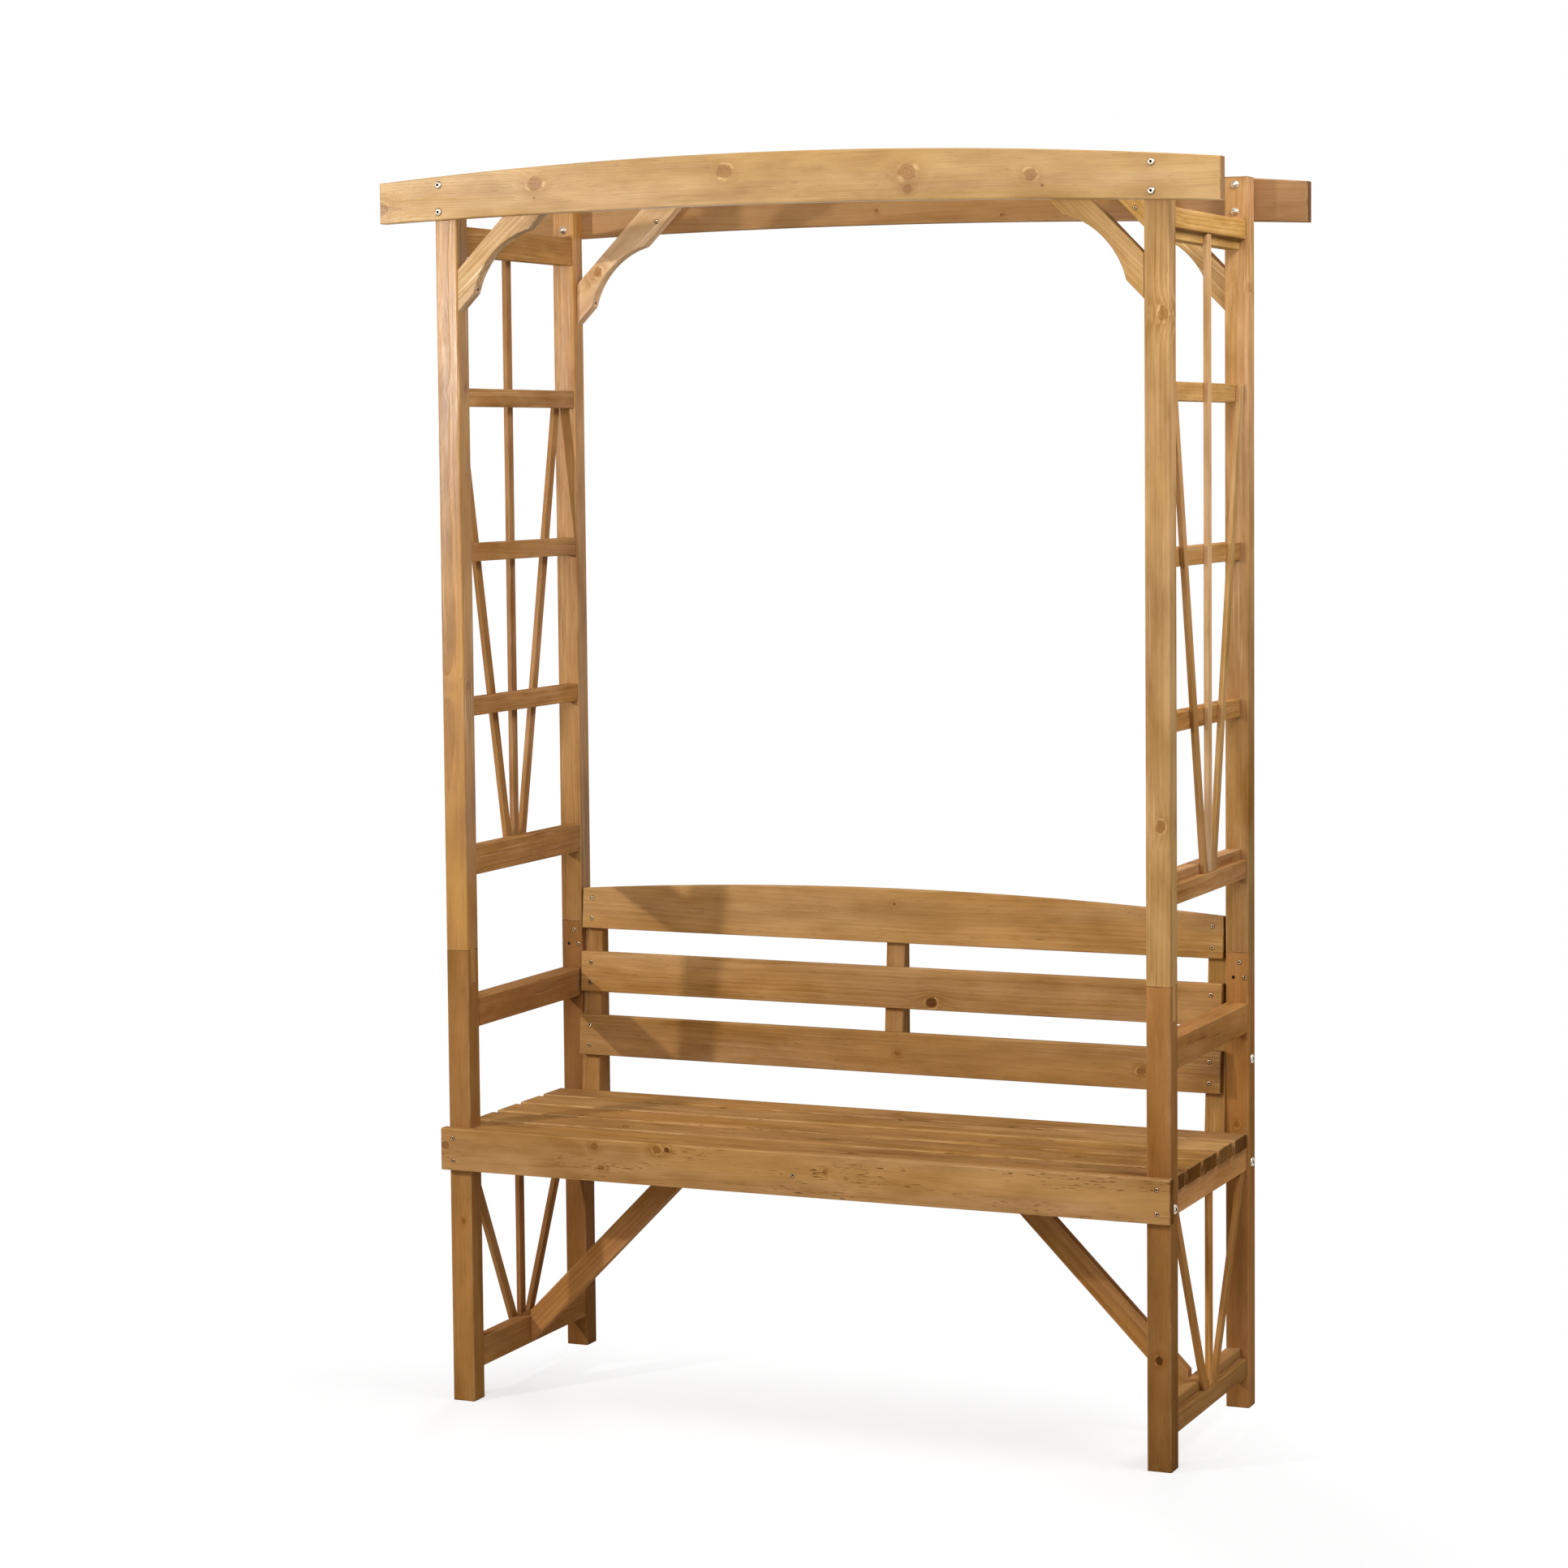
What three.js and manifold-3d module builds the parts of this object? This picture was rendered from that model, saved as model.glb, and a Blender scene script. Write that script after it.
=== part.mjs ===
// Two-seat garden arbour seat in stained softwood, screwed and bolted together from flat-packed timbers.
// Millimetres, +Z up, front towards -Y, origin on the ground below the middle of the frame.
import * as THREE from "three";
import { mergeVertices } from "three/addons/utils/BufferGeometryUtils.js";
import Module from "manifold-3d";

const wasm = await Module();
wasm.setup();

// Frame: four posts, measured over their outer faces
const frameWidth = 1268;
const frameDepth = 430;
const postWidth = 40;
const postDepth = 35;
const postHeight = 2020;
const postEase = 3;
const timberEase = 2;

// Gaps left where two pieces butt, and round a cut that holds another piece
const buttGap = 0.2;
const cutGap = 0.3;

// Bridle joint that stacks an upper post on a lower post
const postJointAboveSeat = 298;
const tongueLength = 57;
const tongueThickness = 12;

// Arched beams across the top, front and rear
const beamOverhang = 90;
const beamThickness = 22;
const beamEndHeight = 66;
const beamTopRise = 30;
const beamUndersideRise = 15;
const rearBeamDrop = 8;
const beamSteps = 24;

// Knee braces between the posts and the beams, at 45 degrees
const kneeWidth = 48;
const kneeThickness = 24;
const kneeDrop = 144;
const kneeNibLength = 41;
const kneeHollowLength = 144;
const kneeHollowDepth = 20;
const kneeTopInBeam = 52;
const kneeSteps = 24;

// Side rails: full thickness where a lip covers the slat ends, rebated above or below it
const railInset = 2;
const railThickness = 34;
const railHeight = 48;
const rebateDepth = 10;
const lipHeight = 31;

// Upper side trellis: top rail, bars, bottom rail and a fan of three slats on their outer side
const trellisTopGap = 4;
const trellisBottom = 880;
const barCount = 3;
const barHeight = 30;
const slatWidth = 18;
const slatThickness = 8;
const slatEase = 1;
const fanFootGap = 4;
const fanPostGap = 1.8;

// Armrests
const armAboveSeat = 214;
const armHeight = 48;
const armWidth = 38;

// Seat: boards on side rails and bearers, behind a front apron
const seatTop = 460;
const seatBoardCount = 5;
const seatBoardGap = 14;
const seatBoardThickness = 24;
const seatBoardEase = 3;
const seatRailHeight = 39;
const bearerWidth = 34;
const bearerHeight = 40;
const apronOverhang = 5;
const apronHeight = 70;
const apronThickness = 18;
const apronProud = 2;

// Leg frame: rebated stretcher near the ground
const stretcherBottom = 52;

// Diagonal braces from the stretchers up to the seat
const seatBraceWidth = 40;
const seatBraceThickness = 18;
const seatBraceLift = 1;
const seatBraceSetback = 12;

// Backrest: three boards on supports whose taper leans the boards back
const backBoardCount = 3;
const backBoardHeight = 70;
const backBoardGap = 40.5;
const backBoardThickness = 18;
const backAboveSeat = 355;
const backBoardEndGap = 2.5;
const backTopRise = 22;
const backSteps = 16;
const supportWidth = 34;
const supportForward = 8.3;
const supportTopDepth = 16.3;
const supportTopCover = 4;
const supportSeatGap = 0.5;

// Easing of edges, and how far a cutting block reaches past the piece that it cuts
const easeSteps = 3;
const bevelSteps = 2;
const overrun = 5;

// Places that follow from the sizes above
const postInner = frameWidth / 2 - postWidth;
const front = -frameDepth / 2;
const rear = frameDepth / 2;
const clearDepth = frameDepth - 2 * postDepth;
const beamUnderside = postHeight - beamEndHeight;
const railInner = postInner + railInset;
const barThickness = railThickness - rebateDepth;
const slatInner = railInner + barThickness;
const seatUnderside = seatTop - seatBoardThickness;
const postJointHeight = seatTop + postJointAboveSeat;
const seatFront = front + buttGap;
const supportFoot = rear - postDepth - supportForward;
const seatDepth = supportFoot - supportSeatGap - seatFront;
const seatBoardWidth = (seatDepth + seatBoardGap) / seatBoardCount - seatBoardGap;

const sides = [
  { name: "left", sign: -1 },
  { name: "right", sign: 1 },
];
const rows = [
  { name: "front", sign: -1, drop: 0 },
  { name: "rear", sign: 1, drop: rearBeamDrop },
];

function stainedPine(color) {
  return new THREE.MeshStandardMaterial({ color, roughness: 0.62, metalness: 0 });
}

const upperPine = stainedPine(0xcf9f66);
const lowerPine = stainedPine(0xa9773f);
const arbourSeat = new THREE.Group();

// Outline with its convex corners eased; corners run anticlockwise.
function easedOutline(corners, ease) {
  const points = corners.map(([x, y]) => new THREE.Vector2(x, y));
  const outline = new THREE.Shape();
  points.forEach((corner, i) => {
    const before = points[(i + points.length - 1) % points.length];
    const after = points[(i + 1) % points.length];
    const incoming = corner.clone().sub(before).normalize();
    const outgoing = after.clone().sub(corner).normalize();
    const cut = incoming.cross(outgoing) > 0 ? ease : 0;
    const start = corner.clone().addScaledVector(incoming, -cut);
    const end = corner.clone().addScaledVector(outgoing, cut);
    if (i) outline.lineTo(start.x, start.y);
    else outline.moveTo(start.x, start.y);
    if (cut) outline.quadraticCurveTo(corner.x, corner.y, end.x, end.y);
  });
  outline.closePath();
  return outline;
}

function rectangle(width, height) {
  const x = width / 2;
  const y = height / 2;
  return [[-x, -y], [x, -y], [x, y], [-x, y]];
}

// Points of a circular arc between two corners, without its ends; a positive rise bulges to the left.
function arcBetween(from, to, rise, steps) {
  const a = new THREE.Vector2(...from);
  const b = new THREE.Vector2(...to);
  const half = a.distanceTo(b) / 2;
  const along = b.clone().sub(a).normalize();
  const left = new THREE.Vector2(-along.y, along.x).multiplyScalar(Math.sign(rise));
  const sagitta = Math.abs(rise);
  const radius = (half * half + sagitta * sagitta) / (2 * sagitta);
  const centre = a.clone().add(b).multiplyScalar(0.5).addScaledVector(left, sagitta - radius);
  const reach = Math.asin(half / radius);
  const points = [];
  for (let i = 1; i < steps; i++) {
    const angle = reach * ((2 * i) / steps - 1);
    const point = centre.clone().addScaledVector(along, radius * Math.sin(angle));
    point.addScaledVector(left, radius * Math.cos(angle));
    points.push([point.x, point.y]);
  }
  return points;
}

// Straight timber with eased long edges; its length runs along local Z, centred on it.
function timber(corners, length, ease) {
  const geometry = new THREE.ExtrudeGeometry(easedOutline(corners, ease), {
    depth: length,
    bevelEnabled: false,
    curveSegments: easeSteps,
  });
  return geometry.translate(0, 0, -length / 2);
}

// Board sawn to an outline, with the edges of both faces eased; its thickness is centred on local Z.
function sawnBoard(points, thickness, ease) {
  const outline = new THREE.Shape(points.map(([x, y]) => new THREE.Vector2(x, y)));
  const geometry = new THREE.ExtrudeGeometry(outline, {
    depth: thickness - 2 * ease,
    bevelThickness: ease,
    bevelSize: ease,
    bevelOffset: -ease,
    bevelSegments: bevelSteps,
  });
  return geometry.translate(0, 0, ease - thickness / 2);
}

function block(x0, x1, y0, y1, z0, z1) {
  const geometry = new THREE.BoxGeometry(x1 - x0, y1 - y0, z1 - z0);
  return geometry.translate((x0 + x1) / 2, (y0 + y1) / 2, (z0 + z1) / 2);
}

function solid(geometry) {
  const bare = geometry.clone();
  bare.deleteAttribute("normal");
  bare.deleteAttribute("uv");
  const merged = mergeVertices(bare);
  return new wasm.Manifold(
    new wasm.Mesh({
      numProp: 3,
      vertProperties: new Float32Array(merged.attributes.position.array),
      triVerts: new Uint32Array(merged.index.array),
    }),
  );
}

function cut(geometry, ...tools) {
  const body = tools.reduce((rest, tool) => rest.subtract(solid(tool)), solid(geometry));
  const result = body.getMesh();
  const made = new THREE.BufferGeometry();
  made.setAttribute("position", new THREE.BufferAttribute(result.vertProperties, 3));
  made.setIndex(new THREE.BufferAttribute(result.triVerts, 1));
  return made.toNonIndexed();
}

function add(name, geometry, material, position, rotation = [0, 0, 0]) {
  geometry.computeVertexNormals();
  const mesh = new THREE.Mesh(geometry, material);
  mesh.name = name;
  mesh.position.set(...position);
  mesh.rotation.set(...rotation);
  arbourSeat.add(mesh);
}

// Turns that lay a timber's length along X, with the first outline axis downwards, or along Y, with the
// second one downwards, and that stand a sawn board's outline in the X-Z plane or in the Y-Z plane.
const acrossFrame = [0, Math.PI / 2, 0];
const alongDepth = [-Math.PI / 2, 0, 0];
const facingFront = [Math.PI / 2, 0, 0];
const facingSide = [Math.PI / 2, Math.PI / 2, 0];

// Posts: lower sections with an open slot on top, upper sections with the tongue that drops into it
function lowerPost(height) {
  const body = timber(rectangle(postWidth, postDepth), height, postEase);
  const slotHalf = tongueThickness / 2 + cutGap;
  const slotFloor = height / 2 - tongueLength - cutGap;
  const reach = postWidth / 2 + overrun;
  const above = height / 2 + overrun;
  return cut(body, block(-reach, reach, -slotHalf, slotHalf, slotFloor, above));
}

function upperPost(height) {
  const total = height + tongueLength;
  const body = timber(rectangle(postWidth, postDepth), total, postEase);
  const cheek = tongueThickness / 2;
  const outside = postDepth / 2 + overrun;
  const reach = postWidth / 2 + overrun;
  const shoulder = tongueLength - total / 2 + buttGap;
  const below = -total / 2 - overrun;
  return cut(
    body,
    block(-reach, reach, cheek, outside, below, shoulder),
    block(-reach, reach, -outside, -cheek, below, shoulder),
  );
}

for (const side of sides) {
  for (const row of rows) {
    const x = side.sign * (frameWidth / 2 - postWidth / 2);
    const y = row.sign * (frameDepth / 2 - postDepth / 2);
    const place = `${row.name}_${side.name}`;
    const upperHeight = postHeight - postJointHeight;
    const upperMiddle = postJointHeight + (upperHeight - tongueLength) / 2;
    add(`lower_post_${place}`, lowerPost(postJointHeight), lowerPine, [x, y, postJointHeight / 2]);
    add(`upper_post_${place}`, upperPost(upperHeight), upperPine, [x, y, upperMiddle]);
  }
}

// Arched beams, bolted to the outer faces of the posts
function archedBeam() {
  const half = frameWidth / 2 + beamOverhang;
  const topLeft = [-half, beamEndHeight];
  const topRight = [half, beamEndHeight];
  const underLeft = [-half, 0];
  const underRight = [half, 0];
  const underside = arcBetween(underLeft, underRight, beamUndersideRise, beamSteps);
  const top = arcBetween(topRight, topLeft, -beamTopRise, beamSteps);
  const outline = [underLeft, ...underside, underRight, topRight, ...top, topLeft];
  return sawnBoard(outline, beamThickness, timberEase);
}

for (const row of rows) {
  const y = row.sign * (frameDepth / 2 + buttGap + beamThickness / 2);
  add(`${row.name}_beam`, archedBeam(), upperPine, [0, y, beamUnderside - row.drop], facingFront);
}

// Knee braces: outline from the foot at the post, with a hollow in the lower edge between two straight nibs
function kneeBrace(side) {
  const nib = kneeNibLength * Math.SQRT1_2;
  const hollow = kneeHollowLength * Math.SQRT1_2;
  const rise = kneeDrop + kneeTopInBeam;
  const slantHeight = kneeWidth * Math.SQRT2;
  const hollowStart = [nib, nib];
  const hollowEnd = [nib + hollow, nib + hollow];
  const hollowArc = arcBetween(hollowStart, hollowEnd, kneeHollowDepth, kneeSteps);
  const lowerEdge = [[0, 0], hollowStart, ...hollowArc, hollowEnd, [rise, rise]];
  const outline = [...lowerEdge, [rise - slantHeight, rise], [0, slantHeight]];
  const mirrored = outline.map(([x, z]) => [-side.sign * x, z]);
  return sawnBoard(mirrored, kneeThickness, timberEase);
}

for (const side of sides) {
  for (const row of rows) {
    const x = side.sign * (postInner - buttGap);
    const y = row.sign * (frameDepth / 2 - kneeThickness / 2);
    const z = beamUnderside - kneeDrop - row.drop;
    add(`knee_brace_${row.name}_${side.name}`, kneeBrace(side), upperPine, [x, y, z], facingFront);
  }
}

// Side rails: the section is drawn with its inner bottom corner at zero and the lip on the outer side
function rebatedRail(side, lipAtTop) {
  const inner = [[0, railHeight], [0, 0]];
  const lipBelow = [
    [railThickness, 0],
    [railThickness, lipHeight],
    [barThickness, lipHeight],
    [barThickness, railHeight],
  ];
  const lipAbove = [
    [barThickness, 0],
    [barThickness, railHeight - lipHeight],
    [railThickness, railHeight - lipHeight],
    [railThickness, railHeight],
  ];
  const drawn = [...inner, ...(lipAtTop ? lipAbove : lipBelow)].map(([x, z]) => [side.sign * x, -z]);
  const corners = side.sign > 0 ? drawn.reverse() : drawn;
  return timber(corners, clearDepth - 2 * buttGap, timberEase);
}

function plainRail(width, height) {
  return timber(rectangle(width, height), clearDepth - 2 * buttGap, timberEase);
}

// Fan of three slats: an upright one in the middle and two that spread towards the posts at their heads
function slatFan(side, prefix, footHeight, spreadHeight, uprightHeight, material) {
  const x = side.sign * (slatInner + slatThickness / 2 + buttGap);
  const foot = footHeight + buttGap;
  const upright = uprightHeight - buttGap - foot;
  const uprightSlat = timber(rectangle(slatThickness, slatWidth), upright, slatEase);
  add(`${prefix}_upright_slat_${side.name}`, uprightSlat, material, [x, 0, foot + upright / 2]);
  const rise = spreadHeight - buttGap - foot;
  const reach = clearDepth / 2 - fanPostGap;
  const footMiddle = slatWidth + fanFootGap;
  const slope = (reach - slatWidth / 2 - footMiddle) / rise;
  const halfRun = (slatWidth / 2) * Math.hypot(1, slope);
  const headMiddle = reach - halfRun;
  for (const row of rows) {
    const outline = [
      [footMiddle - halfRun, 0],
      [footMiddle + halfRun, 0],
      [headMiddle + halfRun, rise],
      [headMiddle - halfRun, rise],
    ].map(([y, z]) => [row.sign * y, z]);
    const slat = sawnBoard(outline, slatThickness, slatEase);
    add(`${prefix}_${row.name}_slat_${side.name}`, slat, material, [x, 0, foot], facingSide);
  }
}

const trellisTop = beamUnderside - trellisTopGap;
const topRailMiddle = trellisTop - railHeight / 2;
const barPitch = (topRailMiddle - trellisBottom - railHeight / 2) / (barCount + 1);
for (const side of sides) {
  const x = side.sign * railInner;
  const topRail = rebatedRail(side, true);
  const bottomRail = rebatedRail(side, false);
  add(`trellis_top_rail_${side.name}`, topRail, upperPine, [x, 0, trellisTop - railHeight], alongDepth);
  add(`trellis_bottom_rail_${side.name}`, bottomRail, upperPine, [x, 0, trellisBottom], alongDepth);
  for (let i = 1; i <= barCount; i++) {
    const bar = plainRail(barThickness, barHeight);
    const place = [side.sign * (railInner + barThickness / 2), 0, topRailMiddle - i * barPitch];
    add(`trellis_bar_${i}_${side.name}`, bar, upperPine, place, alongDepth);
  }
  const spread = topRailMiddle - barPitch + barHeight / 2;
  slatFan(side, "trellis", trellisBottom + lipHeight, spread, trellisTop - lipHeight, upperPine);
}

// Armrests between the lower posts
const armMiddle = seatTop + armAboveSeat - armHeight / 2;
for (const side of sides) {
  const x = side.sign * (postInner + postWidth / 2);
  add(`armrest_${side.name}`, plainRail(armWidth, armHeight), lowerPine, [x, 0, armMiddle], alongDepth);
}

// Leg frames below the seat: side rail, rebated stretcher and a fan of slats
const seatRailBottom = seatUnderside - buttGap - seatRailHeight;
for (const side of sides) {
  const seatRail = plainRail(railThickness, seatRailHeight);
  const place = [side.sign * (railInner + railThickness / 2), 0, seatRailBottom + seatRailHeight / 2];
  add(`seat_rail_${side.name}`, seatRail, lowerPine, place, alongDepth);
  const stretcher = rebatedRail(side, false);
  const low = [side.sign * railInner, 0, stretcherBottom];
  add(`stretcher_${side.name}`, stretcher, lowerPine, low, alongDepth);
  slatFan(side, "leg", stretcherBottom + lipHeight, seatRailBottom, seatRailBottom, lowerPine);
}

// Bearers below the seat boards: one bolted beside the posts at each end, one behind the apron's middle
function bearer(length) {
  return timber(rectangle(bearerWidth, bearerHeight), length, timberEase);
}

const bearerMiddle = seatUnderside - buttGap - bearerHeight / 2;
for (const side of sides) {
  const x = side.sign * (postInner - buttGap - bearerWidth / 2);
  add(`seat_bearer_${side.name}`, bearer(frameDepth), lowerPine, [x, 0, bearerMiddle], alongDepth);
}
const seatMiddle = seatFront + seatDepth / 2;
add("seat_bearer_centre", bearer(seatDepth), lowerPine, [0, seatMiddle, bearerMiddle], alongDepth);

// Seat boards, flush with the outer faces of the posts; the front board is notched round the front posts
function notched(board) {
  const reach = seatBoardThickness / 2 + overrun;
  const open = -seatBoardWidth / 2 - overrun;
  const floor = postDepth - seatBoardWidth / 2;
  const notches = sides.map(({ sign }) => {
    const ends = [sign * (postInner - cutGap), sign * (frameWidth / 2 + overrun)];
    return block(-reach, reach, open, floor, Math.min(...ends), Math.max(...ends));
  });
  return cut(board, ...notches);
}

for (let i = 0; i < seatBoardCount; i++) {
  const y = seatFront + seatBoardWidth / 2 + i * (seatBoardWidth + seatBoardGap);
  const z = seatTop - seatBoardThickness / 2;
  const plank = timber(rectangle(seatBoardThickness, seatBoardWidth), frameWidth, seatBoardEase);
  const board = i ? plank : notched(plank);
  add(`seat_board_${i + 1}`, board, lowerPine, [0, y, z], acrossFrame);
}

// Apron across the front posts
const apronY = front - buttGap - apronThickness / 2;
const apronZ = seatTop + apronProud - apronHeight / 2;
const apronLength = frameWidth + 2 * apronOverhang;
const apron = timber(rectangle(apronHeight, apronThickness), apronLength, timberEase);
add("apron", apron, lowerPine, [0, apronY, apronZ], acrossFrame);

// Diagonal braces from the inside of the stretchers up to the middle seat board
const seatBraceFoot = stretcherBottom + seatBraceLift;
for (const side of sides) {
  const rise = seatUnderside - buttGap - seatBraceFoot;
  const slantHeight = seatBraceWidth * Math.SQRT2;
  const outline = [[0, 0], [rise, rise], [rise - slantHeight, rise], [0, slantHeight]];
  const brace = sawnBoard(outline.map(([x, z]) => [-side.sign * x, z]), seatBraceThickness, timberEase);
  const place = [side.sign * (railInner - buttGap), seatMiddle + seatBraceSetback, seatBraceFoot];
  add(`seat_brace_${side.name}`, brace, lowerPine, place, facingFront);
}

// Backrest supports: the front edge is upright beside the seat and leans back above it
const backBoardTop = seatTop + backAboveSeat;
const supportTop = backBoardTop - supportTopCover;
const lean = (rear - supportTopDepth - supportFoot) / (supportTop - seatTop);
const leanAt = (height) => supportFoot + Math.max(height - seatTop, 0) * lean;

function backSupport(bottom) {
  const back = [[rear, supportTop], [rear, bottom]];
  const outline = [[leanAt(supportTop), supportTop], ...back, [leanAt(bottom), bottom]];
  if (bottom < seatTop) outline.push([supportFoot, seatTop]);
  return sawnBoard(outline, supportWidth, timberEase);
}

for (const side of sides) {
  const x = side.sign * (postInner - buttGap - supportWidth / 2);
  add(`back_support_${side.name}`, backSupport(seatUnderside + buttGap), lowerPine, [x, 0, 0], facingSide);
}

const backPitch = backBoardHeight + backBoardGap;
const lowestBoard = backBoardTop - backBoardHeight - (backBoardCount - 1) * backPitch;
add("back_support_centre", backSupport(lowestBoard), lowerPine, [0, 0, 0], facingSide);

// Backrest boards, laid on the supports' slanted edges; the top one is arched
function backBoard(arched) {
  const half = postInner - backBoardEndGap;
  const topRight = [half, backBoardHeight];
  const topLeft = [-half, backBoardHeight];
  const arch = arched ? arcBetween(topRight, topLeft, -backTopRise, backSteps) : [];
  return sawnBoard([[-half, 0], [half, 0], topRight, ...arch, topLeft], backBoardThickness, timberEase);
}

const recline = Math.atan(lean);
const leaning = [Math.PI / 2 - recline, 0, 0];
for (let i = 0; i < backBoardCount; i++) {
  const z = backBoardTop - backBoardHeight - i * backPitch;
  const y = leanAt(z) - (cutGap + backBoardThickness / 2) / Math.cos(recline);
  add(`back_board_${i + 1}`, backBoard(i === 0), lowerPine, [0, y, z], leaning);
}

export default arbourSeat;
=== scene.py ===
import math
import random

import bmesh
import bpy
from mathutils import Matrix, Vector
from mathutils.bvhtree import BVHTree


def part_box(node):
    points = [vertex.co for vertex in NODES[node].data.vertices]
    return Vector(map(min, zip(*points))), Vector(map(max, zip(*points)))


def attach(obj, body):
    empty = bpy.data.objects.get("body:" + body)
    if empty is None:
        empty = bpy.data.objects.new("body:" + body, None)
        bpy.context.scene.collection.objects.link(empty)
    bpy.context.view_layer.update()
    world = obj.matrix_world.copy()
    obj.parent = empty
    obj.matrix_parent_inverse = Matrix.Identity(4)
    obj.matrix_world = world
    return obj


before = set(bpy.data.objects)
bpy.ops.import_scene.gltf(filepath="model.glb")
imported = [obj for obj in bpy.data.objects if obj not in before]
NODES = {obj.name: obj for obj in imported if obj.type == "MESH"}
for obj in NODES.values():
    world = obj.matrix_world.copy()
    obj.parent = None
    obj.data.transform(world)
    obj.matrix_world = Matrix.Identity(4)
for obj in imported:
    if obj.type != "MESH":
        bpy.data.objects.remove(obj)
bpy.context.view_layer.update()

MM = 0.001
SIDES = {"left": -1, "right": 1}
ALONG_X = Vector((1, 0, 0))
ALONG_Y = Vector((0, 1, 0))
UP = Vector((0, 0, 1))


# Camera: the photograph is an off-centre crop, so the lens is shifted. A fit to the photograph alone asks
# for 0.29 sideways, but with it the views from behind would cut the object off
CAMERA_PLACE = Vector((2.3942, -5.3528, 1.5945))
CAMERA_YAW = 0.3591
CAMERA_PITCH = -0.0661
CAMERA_ROLL = -0.0043
CAMERA_LENS = 81.93
CAMERA_SENSOR = 36
CAMERA_SHIFT = (-0.18, -0.068)


def make_camera():
    flat = math.cos(CAMERA_PITCH)
    ahead = Vector((-math.sin(CAMERA_YAW) * flat, math.cos(CAMERA_YAW) * flat, math.sin(CAMERA_PITCH)))
    right = Vector((math.cos(CAMERA_YAW), math.sin(CAMERA_YAW), 0))
    turn = Matrix.Rotation(-CAMERA_ROLL, 3, ahead)
    data = bpy.data.cameras.new("camera")
    data.lens = CAMERA_LENS
    data.sensor_width = CAMERA_SENSOR
    data.shift_x, data.shift_y = CAMERA_SHIFT
    camera = bpy.data.objects.new("camera", data)
    axes = Matrix((turn @ right, turn @ right.cross(ahead), -ahead)).transposed()
    camera.matrix_world = Matrix.Translation(CAMERA_PLACE) @ axes.to_4x4()
    bpy.context.scene.collection.objects.link(camera)
    bpy.context.scene.camera = camera


class Graph:
    """Adds nodes to a tree; a value that is a socket is linked, any other is set on the input."""

    def __init__(self, tree):
        self.tree = tree

    def add(self, kind, inputs=(), **settings):
        node = self.tree.nodes.new("ShaderNode" + kind)
        for name, value in settings.items():
            setattr(node, name, value)
        for key, value in dict(inputs).items():
            self.put(node.inputs[key], value)
        return node

    def put(self, socket, value):
        if isinstance(value, bpy.types.NodeSocket):
            self.tree.links.new(value, socket)
        else:
            socket.default_value = value

    def math(self, operation, *values, clamp=False):
        node = self.add("Math", enumerate(values), operation=operation, use_clamp=clamp)
        return node.outputs[0]

    def add_up(self, *values):
        total = values[0]
        for value in values[1:]:
            total = self.math("ADD", total, value)
        return total

    def times(self, *values):
        product = values[0]
        for value in values[1:]:
            product = self.math("MULTIPLY", product, value)
        return product

    def vector(self, operation, *values):
        node = self.add("VectorMath", operation=operation)
        for socket, value in zip(node.inputs, values):
            self.put(socket, value)
        return node.outputs["Value" if operation in ("LENGTH", "DOT_PRODUCT") else "Vector"]

    def stretch(self, vector, along, across):
        """The vector with its first axis scaled by one factor and the others by another."""
        return self.vector("MULTIPLY", vector, (along, across, across))

    def noise(self, vector, along, across, detail=1.0, roughness=0.5, shift=(0, 0, 0)):
        moved = self.vector("ADD", vector, shift) if any(shift) else vector
        inputs = {"Vector": self.stretch(moved, along, across), "Scale": 1.0}
        inputs.update({"Detail": detail, "Roughness": roughness})
        return self.add("TexNoise", inputs).outputs["Fac"]

    def swing(self, vector, along, across, size, **more):
        """Noise about zero, of the given size."""
        return self.times(self.math("SUBTRACT", self.noise(vector, along, across, **more), 0.5), size)

    def step(self, value, low, high, to_low=0.0, to_high=1.0):
        """A smooth step of the value between two edges."""
        node = self.add("MapRange", interpolation_type="SMOOTHSTEP")
        ends = {"Value": value, "From Min": low, "From Max": high, "To Min": to_low, "To Max": to_high}
        for key, end in ends.items():
            self.put(node.inputs[key], end)
        return node.outputs["Result"]

    def mix(self, factor, a, b, blend="MIX"):
        node = self.add("Mix", data_type="RGBA", blend_type=blend)
        self.put(node.inputs["Factor"], factor)
        colours = [socket for socket in node.inputs if socket.type == "RGBA"]
        self.put(colours[0], a)
        self.put(colours[1], b)
        return [socket for socket in node.outputs if socket.type == "RGBA"][0]

    def tint(self, colour, factors):
        """A colour multiplied by another."""
        return self.mix(1.0, colour, factors, "MULTIPLY")

    def bump(self, shader, height, strength, distance):
        node = self.add("Bump", {"Height": height, "Strength": strength, "Distance": distance})
        self.put(shader.inputs["Normal"], node.outputs[0])

    def seen(self):
        """One for what the camera, a reflection or glass shows, zero for the light on other surfaces."""
        path = self.add("LightPath")
        mirrored = self.math("MAXIMUM", path.outputs["Is Camera Ray"], path.outputs["Is Glossy Ray"])
        return self.math("MAXIMUM", mirrored, path.outputs["Is Transmission Ray"])


def new_material(name):
    """A material, its graph and its shader."""
    material = bpy.data.materials.new(name)
    material.use_nodes = True
    return material, Graph(material.node_tree), material.node_tree.nodes["Principled BSDF"]


def new_group(name, inputs, outputs):
    tree = bpy.data.node_groups.new(name, "ShaderNodeTree")
    for way, sockets in (("INPUT", inputs), ("OUTPUT", outputs)):
        for socket_name, kind in sockets:
            tree.interface.new_socket(socket_name, in_out=way, socket_type="NodeSocket" + kind)
    given = tree.nodes.new("NodeGroupInput").outputs
    result = tree.nodes.new("NodeGroupOutput").inputs
    return Graph(tree), given, result


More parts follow.
